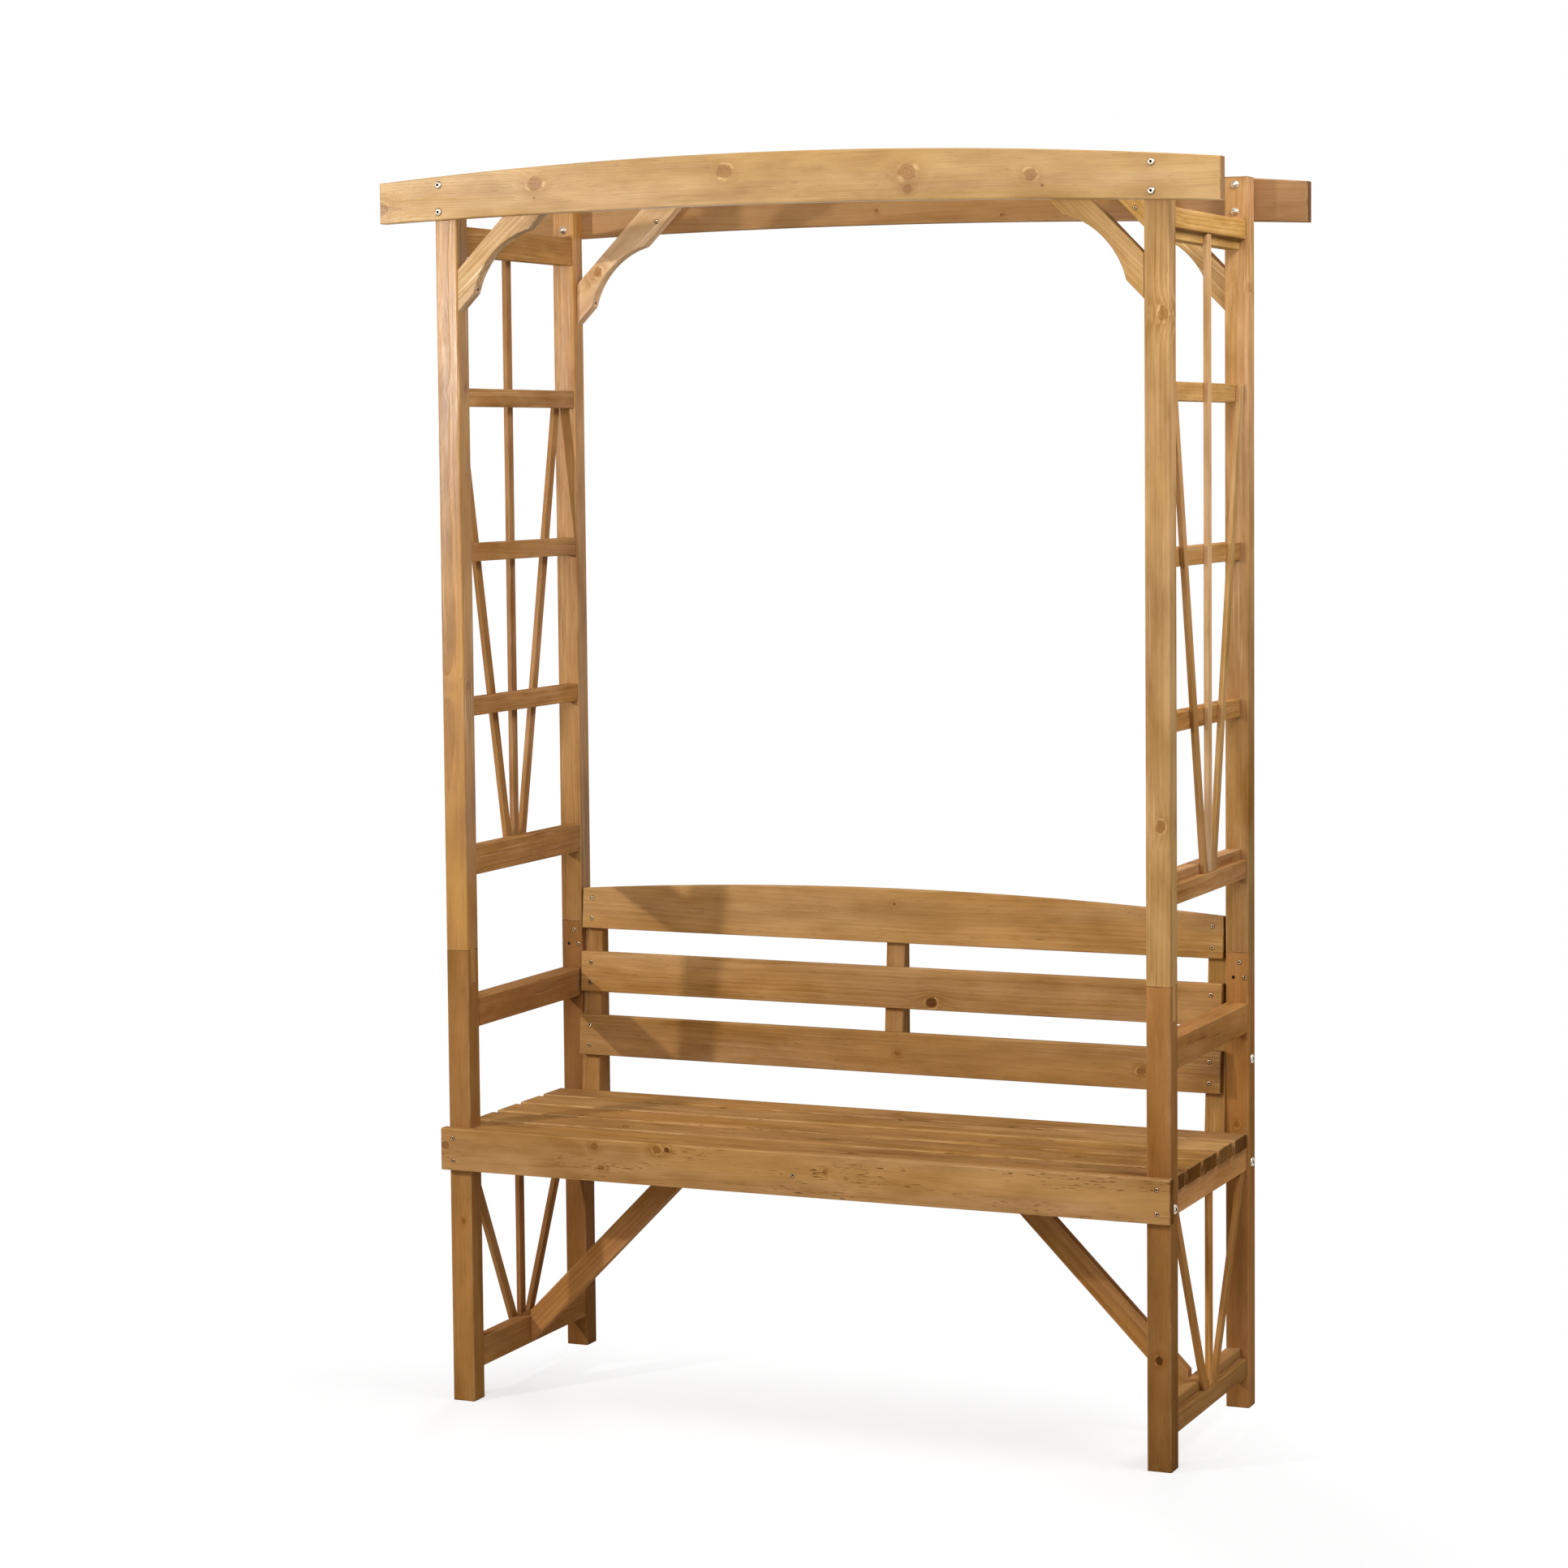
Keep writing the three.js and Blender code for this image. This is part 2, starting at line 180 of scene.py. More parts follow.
# Growth rings, in metres: how far the pith wanders, the ripple of the rings and the unevenness of their widths
PITH_SWAY = 0.04
RING_RIPPLE = 0.0035
RING_UNEVENNESS = 0.012

# What the parts of the wood add to the depth of the stain, from pale at zero to deep at one
MEAN_DEPTH = 0.37
LATEWOOD_DEPTH = 0.50
# Early wood just after each dark line is paler: partly the wood's own pale early wood, partly a painted highlight
# where the raised grain catches the light
EARLYWOOD_AND_HIGHLIGHT_DEPTH = -0.26
SOAK_DEPTH = 1.3
SLOW_DEPTH = 0.9
FIBRE_DEPTH = 0.45

# Tints: the stain's two hues, smears, flecks, and the wood that shows where a streak is worn
YELLOWER = (1.03, 1.0, 0.88, 1.0)
BLUER = (0.98, 0.99, 1.12, 1.0)
SMEARED = (0.62, 0.54, 0.46, 1.0)
FLECKED = (0.42, 0.36, 0.32, 1.0)
WORN_WOOD = (0.86, 0.62, 0.36, 1.0)

# Tints round a knot
KNOT_HALO = (0.84, 0.77, 0.66, 1.0)
KNOT_CRESCENT = (1.18, 1.24, 1.36, 1.0)
KNOT_YEARS = (0.80, 0.74, 0.68, 1.0)
KNOT_RIM = (0.52, 0.40, 0.30, 1.0)


def make_pine_group():
    """Sawn pine under a translucent stain. The first axis runs along the grain, lengths are metres."""
    inputs = [("Vector", "Vector"), ("Pith", "Vector"), ("Offset", "Vector"), ("Warp", "Float")]
    inputs += [("Pale", "Color"), ("Deep", "Color"), ("Rings", "Float"), ("Figure", "Float")]
    inputs += [("Mottle", "Float"), ("Streaks", "Float"), ("Flecks", "Float"), ("Smears", "Float")]
    outputs = [("Color", "Color"), ("Height", "Float"), ("Soak", "Float")]
    graph, given, result = new_group("pine", inputs, outputs)
    place = graph.vector("ADD", given["Vector"], given["Offset"])

    # Growth rings round a wandering pith, of uneven width and strength
    sway = graph.add("CombineXYZ", {
        "Y": graph.swing(place, 1.4, 3.0, PITH_SWAY),
        "Z": graph.swing(place, 1.4, 3.0, PITH_SWAY, shift=(5.0, 3.0, 1.0)),
    }).outputs[0]
    from_pith = graph.vector("ADD", graph.vector("SUBTRACT", given["Vector"], given["Pith"]), sway)
    radius = graph.vector("LENGTH", graph.vector("MULTIPLY", from_pith, (0.0, 1.0, 1.0)))
    ripple = graph.swing(place, 9.0, 90.0, RING_RIPPLE, detail=3.0)
    pace = graph.add("TexNoise", {"W": graph.times(radius, 90.0), "Scale": 1.0}, noise_dimensions="1D")
    uneven = graph.times(graph.math("SUBTRACT", pace.outputs["Fac"], 0.5), RING_UNEVENNESS)
    count = graph.times(graph.add_up(radius, ripple, uneven, given["Warp"]), given["Rings"])
    ring = graph.math("FRACT", count)
    year = graph.add("TexWhiteNoise", {"W": graph.math("FLOOR", count)}, noise_dimensions="1D").outputs["Value"]
    latewood = graph.times(
        graph.step(ring, 0.15, 0.86),
        graph.step(ring, 0.90, 1.0, 1.0, 0.0),
        graph.math("MULTIPLY_ADD", year, 0.65, 0.35),
    )
    # The pale band after each dark line: pale early wood and a painted highlight
    earlywood_and_highlight = graph.times(graph.step(ring, 0.0, 0.06), graph.step(ring, 0.10, 0.32, 1.0, 0.0), year)
    patchy = graph.step(graph.noise(place, 2.2, 16.0, detail=2.0), 0.32, 0.68, 0.25, 1.0)
    late, early = graph.times(latewood, LATEWOOD_DEPTH), graph.times(earlywood_and_highlight, EARLYWOOD_AND_HIGHLIGHT_DEPTH)
    lines = graph.times(graph.add_up(late, early), patchy)

    # The stain: how deep it went in, by rings, clouds and fibre
    soak = graph.noise(place, 3.0, 22.0, detail=4.0, roughness=0.55)
    fibre = graph.noise(place, 30.0, 1100.0, detail=2.0, roughness=0.6)
    depth = graph.add_up(
        graph.times(lines, given["Figure"]),
        graph.times(graph.math("SUBTRACT", soak, 0.5), SOAK_DEPTH),
        graph.times(graph.swing(place, 10.0, 30.0, 1.0, detail=3.0, shift=(6.0, 1.0, 5.0)), given["Mottle"]),
        graph.swing(place, 1.1, 5.0, SLOW_DEPTH, detail=2.0),
        graph.times(graph.math("SUBTRACT", fibre, 0.5), FIBRE_DEPTH),
        MEAN_DEPTH,
    )
    colour = graph.mix(graph.math("ADD", depth, 0.0, clamp=True), given["Pale"], given["Deep"])
    drift = graph.step(graph.noise(place, 1.7, 12.0, detail=2.0, shift=(3.0, 9.0, 2.0)), 0.35, 0.65)
    colour = graph.tint(colour, graph.mix(drift, YELLOWER, BLUER))

    # Worn streaks, smears of stain and short dark flecks
    worn = graph.step(graph.noise(place, 6.0, 360.0, detail=2.0, shift=(2.0, 7.0, 4.0)), 0.57, 0.66)
    where = graph.step(graph.noise(place, 3.0, 24.0, shift=(9.0, 2.0, 8.0)), 0.48, 0.60)
    bare = graph.mix(0.6, given["Pale"], WORN_WOOD)
    colour = graph.mix(graph.times(worn, where, given["Streaks"]), colour, bare)

    smear = graph.step(graph.noise(place, 9.0, 120.0, detail=2.0, shift=(7.0, 6.0, 2.0)), 0.60, 0.74)
    smeared = graph.tint(given["Deep"], SMEARED)
    colour = graph.mix(graph.times(smear, given["Smears"]), colour, smeared)
    mark = graph.step(graph.noise(place, 45.0, 650.0, shift=(4.0, 4.0, 9.0)), 0.65, 0.71)
    field = graph.step(graph.noise(place, 5.0, 34.0, shift=(1.0, 8.0, 3.0)), 0.44, 0.56)
    fleck = graph.times(mark, field, given["Flecks"])
    colour = graph.mix(fleck, colour, graph.tint(given["Deep"], FLECKED))

    relief = graph.add_up(graph.times(fibre, 0.5), graph.times(latewood, 0.8), graph.times(fleck, -0.8))
    graph.put(result["Color"], colour)
    graph.put(result["Height"], relief)
    graph.put(result["Soak"], soak)
    return graph.tree


def make_knot_shape_group():
    """How far a point lies from a knot, in knot radii, and how far the knot pushes the rings aside there."""
    inputs = [("Vector", "Vector"), ("Centre", "Vector"), ("Across", "Vector"), ("Radius", "Float")]
    graph, given, result = new_group("knot_shape", inputs, [("Distance", "Float"), ("Warp", "Float")])
    from_centre = graph.vector("SUBTRACT", given["Vector"], given["Centre"])
    length = graph.vector("LENGTH", graph.vector("MULTIPLY", from_centre, given["Across"]))
    ragged = graph.swing(given["Vector"], 120.0, 120.0, 0.7, detail=2.0)
    distance = graph.math("ADD", graph.math("DIVIDE", length, given["Radius"]), ragged)
    falloff = graph.math("POWER", math.e, graph.times(distance, distance, -0.16))
    graph.put(result["Distance"], distance)
    graph.put(result["Warp"], graph.times(falloff, given["Radius"], 1.5))
    return graph.tree


def make_knot_look_group():
    """The colour at and round a knot: dark halo, pale crescent, broken rim and ringed heart."""
    inputs = [("Color", "Color"), ("Distance", "Float"), ("Vector", "Vector"), ("Heart", "Color")]
    graph, given, result = new_group("knot_look", inputs, [("Color", "Color")])
    distance = given["Distance"]
    halo = graph.tint(given["Color"], KNOT_HALO)
    colour = graph.mix(graph.step(distance, 1.0, 3.2, 0.75, 0.0), given["Color"], halo)
    broken = graph.noise(given["Vector"], 60.0, 60.0, detail=2.0)
    pale = graph.tint(given["Color"], KNOT_CRESCENT)
    crescent = graph.times(graph.step(distance, 1.05, 1.2), graph.step(distance, 1.35, 1.7, 1.0, 0.0))
    colour = graph.mix(graph.times(crescent, graph.step(broken, 0.50, 0.60)), colour, pale)
    heart = graph.tint(given["Color"], given["Heart"])
    years = graph.math("SINE", graph.times(distance, 15.0))
    heart = graph.mix(graph.step(years, -0.2, 0.9), heart, graph.tint(heart, KNOT_YEARS))
    colour = graph.mix(graph.step(distance, 0.86, 1.04, 0.9, 0.0), colour, heart)
    rim = graph.times(graph.step(distance, 0.84, 0.95), graph.step(distance, 1.02, 1.16, 1.0, 0.0))
    dark = graph.tint(given["Color"], KNOT_RIM)
    colour = graph.mix(graph.times(rim, graph.step(broken, 0.38, 0.52, 0.75, 0.15)), colour, dark)
    graph.put(result["Color"], colour)
    return graph.tree


def linear(red, green, blue):
    """A colour as it is written in a paint program, made linear for the shaders."""
    parts = [value / 255 for value in (red, green, blue)]
    curve = [part / 12.92 if part < 0.04045 else ((part + 0.055) / 1.055) ** 2.4 for part in parts]
    return tuple(curve) + (1.0,)


def shade(colour, red, green, blue):
    return (colour[0] * red, colour[1] * green, colour[2] * blue, 1.0)


# The stain of the upper pieces, the lower pieces and the front beam, and the share of it in the palest and the
# deepest places
UPPER = linear(169, 125, 67)
LOWER = linear(151, 107, 58)
BEAM = linear(169, 131, 74)
PALE_SHARE = (1.30, 1.38, 1.64)
DEEP_SHARE = (0.69, 0.61, 0.47)

# How each piece differs in colour from the rest: lighter or darker, redder or paler. Partly the piece's own
# stain, partly painted light: painted shade on the rear beam, and a painted sheen that makes the knee braces and
# the upper front right post paler and bluer
STAIN_AND_LIGHT_FACTORS = {
    "apron": (1.20, 1.29, 1.42),
    "armrest_left": (0.96, 0.94, 1.04),
    "armrest_right": (1.31, 1.22, 1.05),
    "back_board_1": (1.21, 1.31, 1.43),
    "back_board_2": (1.21, 1.33, 1.46),
    "back_board_3": (1.15, 1.25, 1.37),
    "back_support_centre": (1.16, 1.22, 1.30),
    "back_support_left": (1.10, 1.15, 1.24),
    "back_support_right": (1.34, 1.46, 1.27),
    "front_beam": (1.05, 1.06, 1.15),
    # The knee braces are paler and bluer than their stain: a painted sheen
    "knee_brace_front_left": (1.46, 1.86, 3.57),
    "knee_brace_front_right": (1.23, 1.36, 1.69),
    "knee_brace_rear_left": (1.62, 2.04, 4.16),
    "knee_brace_rear_right": (1.42, 1.60, 2.14),
    "leg_front_slat_left": (1.19, 1.17, 1.10),
    "leg_front_slat_right": (1.35, 1.27, 1.04),
    "leg_rear_slat_left": (0.95, 0.84, 0.78),
    "leg_rear_slat_right": (1.19, 1.16, 1.15),
    "leg_upright_slat_left": (1.01, 0.90, 1.03),
    "leg_upright_slat_right": (1.86, 1.85, 1.98),
    "lower_post_front_left": (0.92, 0.89, 0.75),
    "lower_post_front_right": (0.98, 0.92, 0.93),
    "lower_post_rear_left": (0.77, 0.69, 0.60),
    "lower_post_rear_right": (1.26, 1.18, 1.12),
    # Darker: painted shade, for the shadow that the front beam throws on it
    "rear_beam": (0.86, 0.85, 1.08),
    "seat_board_1": (1.06, 1.07, 1.01),
    "seat_board_2": (1.10, 1.15, 1.08),
    "seat_board_3": (1.24, 1.29, 1.21),
    "seat_board_4": (1.43, 1.57, 1.54),
    "seat_board_5": (1.17, 1.24, 1.22),
    "seat_brace_left": (1.25, 1.19, 1.15),
    "seat_brace_right": (1.28, 1.24, 1.12),
    "seat_rail_right": (1.78, 1.78, 2.06),
    "stretcher_left": (1.34, 1.34, 1.40),
    "stretcher_right": (1.24, 1.30, 1.35),
    "trellis_bar_1_left": (1.06, 1.03, 1.29),
    "trellis_bar_1_right": (1.36, 1.47, 1.86),
    "trellis_bar_2_left": (0.99, 0.95, 1.22),
    "trellis_bar_2_right": (1.09, 1.03, 1.05),
    "trellis_bar_3_left": (1.05, 0.93, 0.97),
    "trellis_bar_3_right": (1.01, 0.88, 0.79),
    "trellis_bottom_rail_left": (0.97, 0.91, 1.05),
    "trellis_bottom_rail_right": (1.18, 1.11, 1.38),
    "trellis_front_slat_left": (0.86, 0.80, 0.86),
    "trellis_front_slat_right": (1.08, 1.06, 1.15),
    "trellis_rear_slat_left": (0.89, 0.84, 0.95),
    "trellis_rear_slat_right": (1.24, 1.39, 1.92),
    "trellis_top_rail_left": (1.06, 1.00, 0.95),
    "trellis_top_rail_right": (1.26, 1.35, 1.32),
    "trellis_upright_slat_left": (0.86, 0.84, 1.16),
    "trellis_upright_slat_right": (1.40, 1.66, 2.95),
    "upper_post_front_left": (0.88, 0.79, 0.50),
    # Bluer: a painted sheen
    "upper_post_front_right": (1.14, 1.25, 1.55),
    "upper_post_rear_left": (0.93, 0.85, 0.75),
    "upper_post_rear_right": (1.08, 1.13, 1.44),
}

# Posts painted paler towards their top, red, green and blue gained per metre. On the upper posts this is painted
# light: the stronger light and the sheen at their tops. The lower front right post is simply paler upwards
LEANS = {
    "upper_post_front_right": (0.00, 0.06, 0.35),
    "upper_post_rear_left": (0.32, 0.32, 0.32),
    "upper_post_rear_right": (0.24, 0.28, 0.45),
    "lower_post_front_right": (0.75, 0.75, 0.75),
}

# What a knot's heart does to the colour: sound, dead or hardly darker than the wood
SOUND = (0.70, 0.58, 0.48, 1.0)
DEAD = (0.30, 0.21, 0.16, 1.0)
FAINT = (0.76, 0.64, 0.52, 1.0)

# Sawn ends drink more stain; a narrow band before each square cut is darkened as painted shade, for the seams
# where pieces meet
SOAKED_END = (0.80, 0.75, 0.68, 1.0)
SEAM_SHADE = (0.42, 0.33, 0.25, 1.0)
BAND_START, BAND_FULL = 0.0022, 0.0006

# Arrises paler here and there, as wide as this rounding reaches: bare wood where they are rubbed, and a painted
# highlight where the rounded edges catch the light
BARE_WOOD_AND_HIGHLIGHT = (228, 188, 132)
ARRIS_ROUNDING = 0.0024

# Ranges for a piece: metres from its middle to the pith, and growth rings in a metre
PITH_REACH = (0.025, 0.10)
RINGS_PER_METRE = (120, 230)


def grain_frame(obj, grain):
    """Centre of a piece and three axes, the first along its grain."""
    low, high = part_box(obj.name)
    centre = (Vector(low) + Vector(high)) / 2
    first = grain.normalized()
    side = UP if abs(first.dot(UP)) < 0.9 else ALONG_X
    second = first.cross(side).normalized()
    return centre, Matrix((first, second, first.cross(second))).transposed()


def wood_vector(graph, centre, axes):
    """The place on a piece, measured from its centre along and across its grain."""
    mapping = graph.add("Mapping", {"Vector": graph.add("TexCoord").outputs["Object"]}, vector_type="TEXTURE")
    mapping.inputs["Location"].default_value = centre
    mapping.inputs["Rotation"].default_value = axes.to_euler()
    return mapping.outputs[0]


def knot_shapes(graph, local, knots, centre, axes):
    """How far all knots push the rings aside, and for each knot the distance from it and its heart."""
    warp, shapes = 0.0, []
    for place, radius, through, heart in knots:
        local_place = axes.transposed() @ (Vector(place) - centre)
        local_through = axes.transposed() @ through.normalized()
        across = Vector([1 - abs(part) for part in local_through])
        across.x *= 0.8
        inputs = {"Vector": local, "Centre": local_place, "Across": across, "Radius": radius}
        shape = graph.add("Group", inputs, node_tree=KNOT_SHAPE)
        warp = graph.math("ADD", warp, shape.outputs["Warp"])
        shapes.append((shape.outputs["Distance"], heart))
    return warp, shapes


def darken_ends(graph, obj, grain, local, end_grain, colour):
    """The colour with its sawn ends soaked, and a narrow band of painted shade before the cut where it is square,
    for the seam where pieces meet.
    """
    colour = graph.mix(end_grain, colour, graph.tint(colour, SOAKED_END))
    if max(abs(part) for part in grain) <= 0.999:
        return colour
    low, high = (Vector(corner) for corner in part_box(obj.name))
    half = abs((high - low).dot(grain)) / 2
    reach_out = graph.math("ABSOLUTE", graph.add("SeparateXYZ", {"Vector": local}).outputs["X"])
    # The band of painted shade before each end
    near_end = graph.step(reach_out, half - BAND_START, half - BAND_FULL, 0.0, 0.8)
    return graph.mix(near_end, colour, graph.tint(colour, SEAM_SHADE))


def lighten_arrises(graph, normal, local, offset, arris_wear_and_highlight, colour):
    """The colour with its edges paler here and there: rubbed bare, and a painted highlight where they catch the
    light.
    """
    rounded = graph.add("Bevel", {"Radius": ARRIS_ROUNDING}, samples=4)
    edge = graph.step(graph.vector("DOT_PRODUCT", rounded.outputs[0], normal), 0.995, 0.93)
    rubbed = graph.step(graph.noise(local, 14.0, 60.0, detail=2.0, shift=offset), 0.38, 0.60)
    bare = graph.mix(0.8, colour, linear(*BARE_WOOD_AND_HIGHLIGHT))
    # Paler arrises: bare wood and a painted highlight
    return graph.mix(graph.times(edge, rubbed, arris_wear_and_highlight), colour, bare)


def wood_material(obj, grain, stain, knots, gloss, rough, arris_wear_and_highlight, figure, mottle, streaks, flecks, smears):
    """The stained pine of one piece. A knot is its place, radius, the way it runs through, and its heart."""
    rng = random.Random("pine " + obj.name)
    centre, axes = grain_frame(obj, grain)
    material, graph, shader = new_material("pine_" + obj.name)
    local = wood_vector(graph, centre, axes)

    turn = rng.uniform(0, 2 * math.pi)
    reach = rng.uniform(*PITH_REACH)
    offset = [rng.uniform(-20, 20) for _ in range(3)]
    warp, shapes = knot_shapes(graph, local, knots, centre, axes)
    drift = rng.uniform(0.97, 1.03)
    stain = shade(stain, drift, drift * rng.uniform(0.985, 1.015), drift * rng.uniform(0.96, 1.04))
    stain = shade(stain, *STAIN_AND_LIGHT_FACTORS.get(obj.name, (1.0, 1.0, 1.0)))
    pine = graph.add("Group", {
        "Vector": local,
        "Pith": (0.0, reach * math.cos(turn), reach * math.sin(turn)),
        "Offset": offset,
        "Warp": warp,
        "Pale": shade(stain, *PALE_SHARE),
        "Deep": shade(stain, *DEEP_SHARE),
        "Rings": rng.uniform(*RINGS_PER_METRE),
        "Figure": figure * rng.uniform(0.8, 1.2),
        "Mottle": mottle,
        "Streaks": streaks,
        "Flecks": flecks,
        "Smears": smears,
    }, node_tree=PINE)
    colour = pine.outputs["Color"]
    for distance, heart in shapes:
        inputs = {"Color": colour, "Distance": distance, "Vector": local, "Heart": heart}
        colour = graph.add("Group", inputs, node_tree=KNOT_LOOK).outputs["Color"]
    # Paler towards the top of a post: painted light on the upper posts
    if obj.name in LEANS:
        height = graph.add("SeparateXYZ", {"Vector": local}).outputs["X"]
        colour = graph.tint(colour, graph.vector("MULTIPLY_ADD", height, LEANS[obj.name], (1.0, 1.0, 1.0)))

    normal = graph.add("NewGeometry").outputs["Normal"]
    along = graph.math("ABSOLUTE", graph.vector("DOT_PRODUCT", normal, axes.col[0]))
    end_grain = graph.step(along, 0.86, 0.97)
    colour = darken_ends(graph, obj, grain, local, end_grain, colour)
    colour = lighten_arrises(graph, normal, local, offset, arris_wear_and_highlight, colour)
    graph.put(shader.inputs["Base Color"], colour)
    graph.put(shader.inputs["Roughness"], graph.add_up(
        graph.step(pine.outputs["Soak"], 0.3, 0.7, rough - 0.06, rough + 0.06),
        graph.times(end_grain, 0.18),
        graph.swing(local, 40.0, 300.0, 0.12, shift=offset),
    ))
    shader.inputs["Specular IOR Level"].default_value = gloss
    graph.bump(shader, pine.outputs["Height"], 0.5, 0.0005)
    obj.data.materials.clear()
    obj.data.materials.append(material)


def grain_of(name):
    """The way the grain runs: along the piece."""
    leaning_slat = "_slat_" in name and "upright" not in name
    if leaning_slat or name.startswith(("knee_brace", "seat_brace", "back_support")):
        return longest_way(NODES[name])
    low, high = (Vector(corner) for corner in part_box(name))
    size = high - low
    return (ALONG_X, ALONG_Y, UP)[max(range(3), key=lambda axis: size[axis])]


def longest_way(obj):
    """Direction between the two points of a piece that lie furthest apart, near enough its grain."""
    points = [vertex.co for vertex in obj.data.vertices]
    middle = sum(points, Vector()) / len(points)
    first = max(points, key=lambda point: (point - middle).length)
    last = max(points, key=lambda point: (point - first).length)
    half_way = 0.5 * (last - first).length
    near = [point for point in points if (point - first).length < half_way]
    far = [point for point in points if (point - first).length >= half_way]
    way = sum(near, Vector()) / len(near) - sum(far, Vector()) / len(far)
    return way.normalized()


def mm(x, y, z):
    return Vector((x, y, z)) * MM


# Knots that the photograph shows: place, radius in metres, the way each runs through its piece, and its heart
KNOTS = {
    "front_beam": [
        (mm(-436, -226, 2012), 0.010, ALONG_Y, SOUND), (mm(-98, -226, 2021), 0.010, ALONG_Y, FAINT),
        (mm(215, -226, 2011), 0.011, ALONG_Y, FAINT), (mm(215, -226, 1984), 0.006, ALONG_Y, SOUND),
        (mm(419, -226, 2001), 0.008, ALONG_Y, SOUND), (mm(-722, -226, 1978), 0.010, ALONG_Y, SOUND),
        (mm(-438, -226, 1989), 0.0016, ALONG_Y, DEAD), (mm(438, -226, 1984), 0.0016, ALONG_Y, DEAD),
    ],
    "upper_post_front_right": [
        (mm(625, -215, 1787), 0.008, ALONG_Y, FAINT), (mm(619, -215, 1005), 0.007, ALONG_Y, SOUND),
    ],
    "lower_post_front_right": [(mm(614, -215, 175), 0.006, ALONG_Y, DEAD)],
    "lower_post_front_left": [(mm(-610, -215, 303), 0.004, ALONG_Y, SOUND)],
    "apron": [
        (mm(-632, -226, 434), 0.006, ALONG_Y, SOUND), (mm(-353, -226, 450), 0.005, ALONG_Y, SOUND),
        (mm(-240, -226, 452), 0.006, ALONG_Y, SOUND), (mm(-222, -226, 453), 0.004, ALONG_Y, DEAD),
        (mm(-340, -226, 416), 0.004, ALONG_Y, FAINT), (mm(59, -226, 436), 0.004, ALONG_Y, SOUND),
    ],
    "back_board_2": [(mm(76, 140, 648.5), 0.008, ALONG_Y, DEAD)],
    "knee_brace_rear_left": [(mm(-552, 190, 1891), 0.007, ALONG_Y, FAINT)],
}


def stray_knots(name):
    """A few small knots on the long pieces for which the photograph gives none."""
    rng = random.Random("knots " + name)
    low, high = (Vector(corner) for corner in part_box(name))
    found = []
    for _ in range(rng.choice((0, 1, 1, 2))):
        place = Vector([rng.uniform(a + 0.1 * (b - a), b - 0.1 * (b - a)) for a, b in zip(low, high)])
        through = UP if name.startswith("seat_board") else rng.choice((ALONG_X, ALONG_Y))
        if name.startswith(("back_board", "rear_beam")):
            through = ALONG_Y
        found.append((place, rng.uniform(0.003, 0.006), through, rng.choice((SOUND, FAINT))))
    return found


# How strongly a piece shows its rings, cloudy soaking, worn streaks, flecks and smears, its rubbed arrises with
# their painted highlight, and its gloss
UPPER_LOOK = {
    "figure": 0.75, "mottle": 1.5, "streaks": 0.35, "flecks": 0.30, "smears": 0.15,
    "arris_wear_and_highlight": 0.5, "gloss": 0.006, "rough": 0.68,
}
LOWER_LOOK = {
    "figure": 0.60, "mottle": 1.1, "streaks": 0.16, "flecks": 0.30, "smears": 0.15,
    "arris_wear_and_highlight": 0.5, "gloss": 0.005, "rough": 0.68,
}
LOOKS = {
    "upper_post_front_left": {"figure": 0.85, "streaks": 0.80, "gloss": 0.40, "rough": 0.39},
    "upper_post_rear_left": {"figure": 1.0, "gloss": 0.16, "rough": 0.38},
    "upper_post_front_right": {"streaks": 0.5},
    "front_beam": {"figure": 0.45, "mottle": 1.2, "streaks": 0.15, "gloss": 0.30, "rough": 0.43},
    "rear_beam": {"figure": 0.35, "mottle": 0.9, "streaks": 0.05, "gloss": 0.14},
    "knee_brace": {"figure": 0.80, "streaks": 0.95, "gloss": 0.002, "rough": 0.80},
    "lower_post": {"figure": 0.22, "mottle": 0.9, "streaks": 0.05},
    "seat_board": {"flecks": 0.85, "smears": 0.55, "arris_wear_and_highlight": 1.0, "gloss": 0.004},
    "armrest": {"smears": 0.55, "gloss": 0.004},
    "apron": {"figure": 0.45, "streaks": 0.10, "flecks": 1.0},
    "back_board": {"figure": 0.50, "streaks": 0.22},
}
LOWER_PIECES = ("lower_post", "leg_", "seat_", "stretcher", "apron", "armrest", "back_")
LONG_PIECES = ("upper_post", "lower_post", "seat_board", "back_board", "rear_beam")


def finish_timber():
    for name in sorted(NODES):
        lower = name.startswith(LOWER_PIECES)
        look = dict(LOWER_LOOK if lower else UPPER_LOOK)
        for start, changes in LOOKS.items():
            if name.startswith(start):
                look.update(changes)
        wood_material(
            NODES[name], grain_of(name),
            stain=BEAM if name == "front_beam" else LOWER if lower else UPPER,
            knots=KNOTS.get(name) or (stray_knots(name) if name.startswith(LONG_PIECES) else ()),
            **look,
        )


# Fasteners, each turned or cut in mesh code round its own axis; local z points out of the wood. Profiles are
# pairs of radius and height in metres, from the middle outwards
ROUND_STEPS = 32
HEXAGON_STEPS = 36
# Slots: steel, painted shade in holes and recesses, crushed wood darkened as painted shade, and the screws' steel
STEEL, RECESS_SHADE, CRUSHED_AND_SHADE, SCREW = range(4)
SIDE_BOLT_SIZE = 1.3
CROSS_DEPTH = 0.28
SOCKET = ((0.0020, 0.0014), (0.0023, 0.0016), (0.0025, 0.0031))
DOME = (
    (0.0029, 0.0033), (0.0039, 0.0031), (0.0049, 0.0025), (0.0057, 0.0015), (0.0060, 0.0004),
    (0.0060, 0.0002), (0.0064, 0.0001), (0.0064, 0.0),
)
CAP = ((0.0006, 0.0068), (0.0021, 0.0063), (0.0032, 0.0053), (0.0036, 0.0040))
NUT = ((0.0046, 0.0040), (0.0052, 0.0036), (0.0052, 0.0010))
